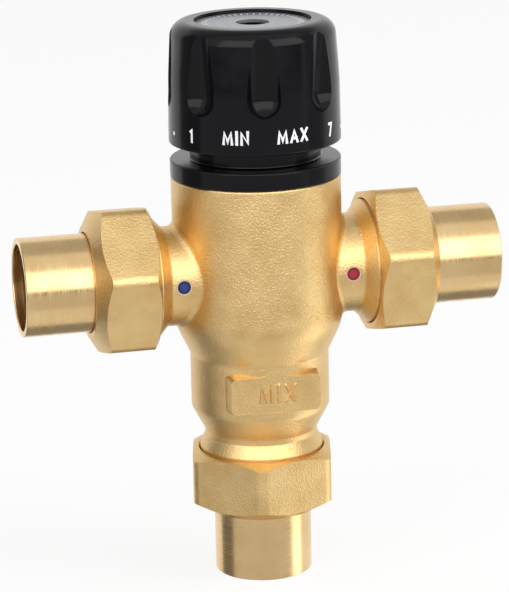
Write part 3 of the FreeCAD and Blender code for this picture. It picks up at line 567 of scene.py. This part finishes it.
class VALVE_OT_brass(bpy.types.Operator):
    """Finish the forged body, the union nuts and the turned tailpieces"""
    bl_idname = "valve.brass"
    bl_label = "Brass"

    def execute(self, context):
        look = context.scene.valve_brass
        forged = shot_blasted_brass(look)
        paint_node("valve_body", forged)
        # lines run round the pipe, so they change along its axis only
        level_pipe = turned_brass("turned_bar_brass_level", look, (1.0, 0.02, 0.02))
        upright_pipe = turned_brass("turned_bar_brass_upright", look, (0.02, 0.02, 1.0))
        for name in UNIONS:
            paint_node("union_nut_" + name, forged)
            paint_node("tailpiece_" + name, upright_pipe if name == "mix" else level_pipe)
        return {"FINISHED"}


class VALVE_OT_inner(bpy.types.Operator):
    """Finish the cartridge, seals, springs, gaskets and check valves"""
    bl_idname = "valve.inner"
    bl_label = "Inner pieces"

    def execute(self, context):
        finishes = {slot: plain_finish(*values) for slot, values in INNER_FINISHES.items()}
        for row in frame["record"]["subparts"]:
            if row["material_slot"] in finishes:
                paint_node(row["node"], finishes[row["material_slot"]])
        return {"FINISHED"}


class VALVE_OT_knob(bpy.types.Operator):
    """Finish the knob, locking ring, cover disc and the two coloured marks"""
    bl_idname = "valve.knob"
    bl_label = "Knob and ring"

    def execute(self, context):
        look = context.scene.valve_knob
        black = glossy_abs(look)
        paint_node("knob", black)
        paint_node("locking_ring", black)
        # printed plastic disc: even grey with a soft shine
        disc = plain_finish("printed_grey_disc", look.disc_deep, look.disc_pale, 0.0, 0.24, 2.0, 0.004)
        paint_node("knob_disc", disc)
        # the marks carry painted highlights: a lighter middle and a pale ring round the edge
        paint_node("cold_mark", enamel("blue_enamel", "cold_mark", look.cold_rim, look.cold_highlight))
        paint_node("hot_mark", enamel("red_enamel", "hot_mark", look.hot_rim, look.hot_highlight))
        return {"FINISHED"}


class VALVE_OT_dial(bpy.types.Operator):
    """Lay MIN, MAX, the numbers and their dots round the knob"""
    bl_idname = "valve.dial"
    bl_label = "Dial marks"

    def execute(self, context):
        dial = context.scene.valve_dial
        # pad-printed ink: clean white, slightly soft
        ink = plain_finish("white_pad_print", "eceef2", "f7f8fa", 0.0, 0.45, 1.0, 0.004)
        wall = surface_of("knob")
        level = KNOB_FOOT_Z + dial.level
        gaps = 6
        step = (2 * math.pi - 2 * dial.end_number) / gaps
        words = [("MIN", -dial.end_word), ("MAX", dial.end_word)]
        words += [(str(k + 1), -dial.end_number - k * step) for k in range(gaps + 1)]
        for word, angle in words:
            made = word_mesh(word, dial.letter_height, PRINT_WIDTH, dial.pen, dial.print_lift)
            slice_across(made, PRINT_SLICE)
            drop = dial.number_drop if len(word) == 1 else 0.0
            wrap_round(made, wall, dial.zero + angle, level - drop)
            finish_piece("dial_mark_" + word.lower(), made, ink, "knob_group")
        for k in range(gaps):
            made = bmesh.new()
            bmesh.ops.create_circle(made, cap_ends=True, radius=dial.dot, segments=20)
            bmesh.ops.translate(made, verts=made.verts, vec=(0, 0, dial.print_lift))
            angle = dial.zero - dial.end_number - (k + 0.5) * step
            wrap_round(made, wall, angle, level - dial.dot_drop)
            finish_piece("dial_dot_%d" % (k + 1), made, ink, "knob_group")
        return {"FINISHED"}


class VALVE_OT_disc(bpy.types.Operator):
    """Set a plain ring of ticks on the knob's cover disc"""
    bl_idname = "valve.disc"
    bl_label = "Disc ticks"

    def execute(self, context):
        disc = context.scene.valve_disc
        # pad-printed ink: pale grey, slightly soft
        ink = plain_finish("pale_pad_print", "e3e5ea", "eef0f4", 0.0, 0.45, 1.0, 0.004)
        made = grow(tick_ring_tree(ink), {
            "Count": disc.count, "Step": 2 * math.pi / disc.count, "Radius": DISC_RADIUS - disc.inset,
            "Height": DISC_TOP_Z, "Tick width": disc.width, "Tick length": disc.length,
            "Tick thickness": disc.thickness})
        finish_piece("disc_ticks", made, ink, "knob_group")
        return {"FINISHED"}


class VALVE_OT_letters(bpy.types.Operator):
    """Raise MIX on the outlet's pad"""
    bl_idname = "valve.letters"
    bl_label = "Forged letters"

    def execute(self, context):
        letters = context.scene.valve_letters
        face = surface_of("valve_body")
        centre = Vector((letters.shift, 0, AXIS_Z - letters.level))
        front = face.ray_cast(centre + Vector((0, -1, 0)), Vector((0, 1, 0)))[0]
        made = word_mesh("MIX", letters.height, FORGED_WIDTH, letters.pen, letters.rise, letters.slope)
        upright = Matrix.Rotation(math.pi / 2, 4, "X")
        stand = Matrix.Translation((centre.x, front.y, centre.z)) @ upright
        bmesh.ops.transform(made, matrix=stand, verts=made.verts)
        forged = frame["nodes"]["valve_body"].material_slots[0].material
        finish_piece("mix_letters", made, forged, "valve")
        return {"FINISHED"}


class VALVE_OT_stage(bpy.types.Operator):
    """Set the floor, studio cards, lamps, world and camera"""
    bl_idname = "valve.stage"
    bl_label = "Stage"

    def execute(self, context):
        stage = context.scene.valve_stage
        build_world(stage)
        build_floor()
        for name, span, rise, distance, tone in CARDS:
            build_card(name, span, rise, distance, tone)
        for name, azimuth, elevation, size, power in LAMPS:
            build_lamp(name, azimuth, elevation, size, power)
        build_camera(stage)
        context.scene.view_settings.view_transform = "Standard"
        return {"FINISHED"}


# --- studio --------------------------------------------------------------------------

FLOOR_HALF = 6.0      # metres
FLOOR_WHITE = 0.86    # share of plain white in the floor as the background rays see it
LAMP_DISTANCE = 1.2   # metres
SENSOR_WIDTH = 36.0   # millimetres
SHIFT = (-0.0054, -0.0461)   # shares of the picture's longer side
CLIP = (0.05, 50.0)   # metres

# each card's spans of azimuth and elevation in degrees from the valve's middle, from the
# front towards the hot side, its distance in metres and the brightness that gloss picks up
CARDS = (
    ("front_table", (-90, 56), (-42, -3), 1.6, 0.66),
    ("table", (-90, 90), (-90, -42), 1.5, 0.86),
    ("table_back", (90, 270), (-90, -42), 1.5, 0.3),
    ("front_gap", (-75, 56), (-5, 1), 1.55, 0.14),
    ("front_softbox", (-60, 62), (3, 46), 1.6, 2.5),
    ("upper_front", (-90, 90), (46, 88), 1.7, 0.9),
    ("upper_back", (90, 270), (40, 88), 1.7, 0.5),
    ("right_softbox", (60, 88), (-60, -13), 0.45, 2.2),
    ("right_wall", (60, 92), (-30, 45), 1.4, 0.42),
    ("left_gap", (-130, -90), (-60, 40), 1.5, 0.2),
)
# each lamp's azimuth and elevation in degrees, size in metres and power in watts
LAMPS = (
    ("key_lamp", 62, 38, 0.7, 9.0),
    ("fill_lamp", -55, 30, 0.8, 5.0),
)


def direction(azimuth, elevation):
    """Unit vector at an azimuth from the front towards +X and an elevation, in radians."""
    return Vector((math.sin(azimuth) * math.cos(elevation),
                   -math.cos(azimuth) * math.cos(elevation), math.sin(elevation)))


def background_share(tree):
    """1 for camera, glossy and transmission rays, which see the white background."""
    path = add(tree, "ShaderNodeLightPath").outputs
    both = add(tree, "ShaderNodeMath", {0: path["Is Camera Ray"], 1: path["Is Glossy Ray"]},
               operation="MAXIMUM").outputs[0]
    return add(tree, "ShaderNodeMath", {0: both, 1: path["Is Transmission Ray"]},
               operation="MAXIMUM").outputs[0]


def build_world(stage):
    """Even ambient light, and white where the background shows."""
    world = bpy.data.worlds.new("studio")
    bpy.context.scene.world = world
    world.use_nodes = True
    tree = world.node_tree
    tree.nodes.clear()
    strength = add(tree, "ShaderNodeMapRange", {
        "Value": background_share(tree), "To Min": stage.ambient, "To Max": 1.0}).outputs[0]
    sky = add(tree, "ShaderNodeBackground", {"Color": (1, 1, 1, 1), "Strength": strength})
    add(tree, "ShaderNodeOutputWorld", {"Surface": sky.outputs[0]})


def build_floor():
    """Pale floor that keeps a soft shadow."""
    made, tree = new_material("pale_floor")
    matt = add(tree, "ShaderNodeBsdfDiffuse", {"Color": linear("f2f2f2")})
    white = add(tree, "ShaderNodeEmission", {"Color": (1, 1, 1, 1), "Strength": 1.0})
    share = add(tree, "ShaderNodeMath", {0: background_share(tree), 1: FLOOR_WHITE},
                operation="MULTIPLY").outputs[0]
    mixed = add(tree, "ShaderNodeMixShader", {0: share, 1: matt.outputs[0], 2: white.outputs[0]})
    close(tree, mixed)
    mesh = bpy.data.meshes.new("floor")
    corners = [(x * FLOOR_HALF, y * FLOOR_HALF, 0) for x, y in ((-1, -1), (1, -1), (1, 1), (-1, 1))]
    mesh.from_pydata(corners, [], [(0, 1, 2, 3)])
    mesh.materials.append(made)
    floor = bpy.data.objects.new("floor", mesh)
    bpy.context.scene.collection.objects.link(floor)
    floor.visible_glossy = False


def build_card(name, span, rise, distance, tone):
    """Patch of the studio that only gloss sees: a softbox, a curtain or the ceiling."""
    columns, rows = 24, 12
    centre = Vector((0, 0, AXIS_Z))
    points = []
    for j in range(rows + 1):
        elevation = math.radians(rise[0] + (rise[1] - rise[0]) * j / rows)
        for i in range(columns + 1):
            azimuth = math.radians(span[0] + (span[1] - span[0]) * i / columns)
            points.append(centre + direction(azimuth, elevation) * distance)
    faces = []
    for j in range(rows):
        for i in range(columns):
            first = j * (columns + 1) + i
            faces.append((first, first + 1, first + columns + 2, first + columns + 1))
    mesh = bpy.data.meshes.new(name)
    mesh.from_pydata(points, [], faces)
    made, tree = new_material(name)
    close(tree, add(tree, "ShaderNodeEmission", {"Color": (1, 1, 1, 1), "Strength": tone}))
    mesh.materials.append(made)
    card = bpy.data.objects.new(name, mesh)
    bpy.context.scene.collection.objects.link(card)
    card.visible_camera = False
    card.visible_diffuse = False
    card.visible_shadow = False
    card.visible_transmission = False


def build_lamp(name, azimuth, elevation, size, power):
    """Softbox that lights the matt surfaces."""
    data = bpy.data.lights.new(name, "AREA")
    data.size = size
    data.energy = power
    lamp = bpy.data.objects.new(name, data)
    towards = direction(math.radians(azimuth), math.radians(elevation))
    lamp.location = Vector((0, 0, AXIS_Z)) + towards * LAMP_DISTANCE
    lamp.rotation_euler = (-towards).to_track_quat("-Z", "Y").to_euler()
    lamp.visible_glossy = False
    bpy.context.scene.collection.objects.link(lamp)


def build_camera(stage):
    """Camera at the valve's front, slightly from the cold side and above."""
    back = direction(stage.azimuth, stage.elevation)
    level = Vector((math.cos(stage.azimuth), math.sin(stage.azimuth), 0))
    upward = back.cross(level)
    right = level * math.cos(stage.roll) + upward * math.sin(stage.roll)
    data = bpy.data.cameras.new("camera")
    data.lens = stage.lens
    data.sensor_width = SENSOR_WIDTH
    data.shift_x, data.shift_y = SHIFT
    data.clip_start, data.clip_end = CLIP
    camera = bpy.data.objects.new("camera", data)
    turned = Matrix((right, back.cross(right), back)).transposed().to_4x4()
    spot = Vector((0, 0, AXIS_Z)) + back * stage.distance
    camera.matrix_world = Matrix.Translation(spot) @ turned
    bpy.context.scene.collection.objects.link(camera)
    bpy.context.scene.camera = camera


# --- add-on --------------------------------------------------------------------------

SETTINGS = {
    "valve_brass": ValveBrassSettings,
    "valve_knob": ValveKnobSettings,
    "valve_dial": ValveDialSettings,
    "valve_disc": ValveDiscSettings,
    "valve_letters": ValveLetterSettings,
    "valve_stage": ValveStageSettings,
}
STEPS = (VALVE_OT_brass, VALVE_OT_inner, VALVE_OT_knob, VALVE_OT_dial, VALVE_OT_disc, VALVE_OT_letters,
         VALVE_OT_stage)


class VALVE_PT_panel(bpy.types.Panel):
    """Lists the valve's steps and settings"""
    bl_idname = "VALVE_PT_panel"
    bl_label = "Mixing Valve"
    bl_space_type = "VIEW_3D"
    bl_region_type = "UI"
    bl_category = "Mixing Valve"

    def draw(self, context):
        for step in STEPS:
            self.layout.operator(step.bl_idname)
        for name in SETTINGS:
            group = getattr(context.scene, name)
            box = self.layout.box()
            for setting in group.bl_rna.properties:
                if setting.identifier not in ("rna_type", "name"):
                    box.prop(group, setting.identifier)


def register():
    for group in SETTINGS.values():
        bpy.utils.register_class(group)
    for name, group in SETTINGS.items():
        setattr(bpy.types.Scene, name, bpy.props.PointerProperty(type=group))
    for kind in STEPS + (VALVE_PT_panel,):
        bpy.utils.register_class(kind)


def unregister():
    for kind in reversed(STEPS + (VALVE_PT_panel,)):
        bpy.utils.unregister_class(kind)
    for name in SETTINGS:
        delattr(bpy.types.Scene, name)
    for group in SETTINGS.values():
        bpy.utils.unregister_class(group)


def main():
    register()
    bpy.ops.valve.brass()
    bpy.ops.valve.inner()
    bpy.ops.valve.knob()
    bpy.ops.valve.dial()
    bpy.ops.valve.disc()
    bpy.ops.valve.letters()
    bpy.ops.valve.stage()


if __name__ == "__main__":
    main()
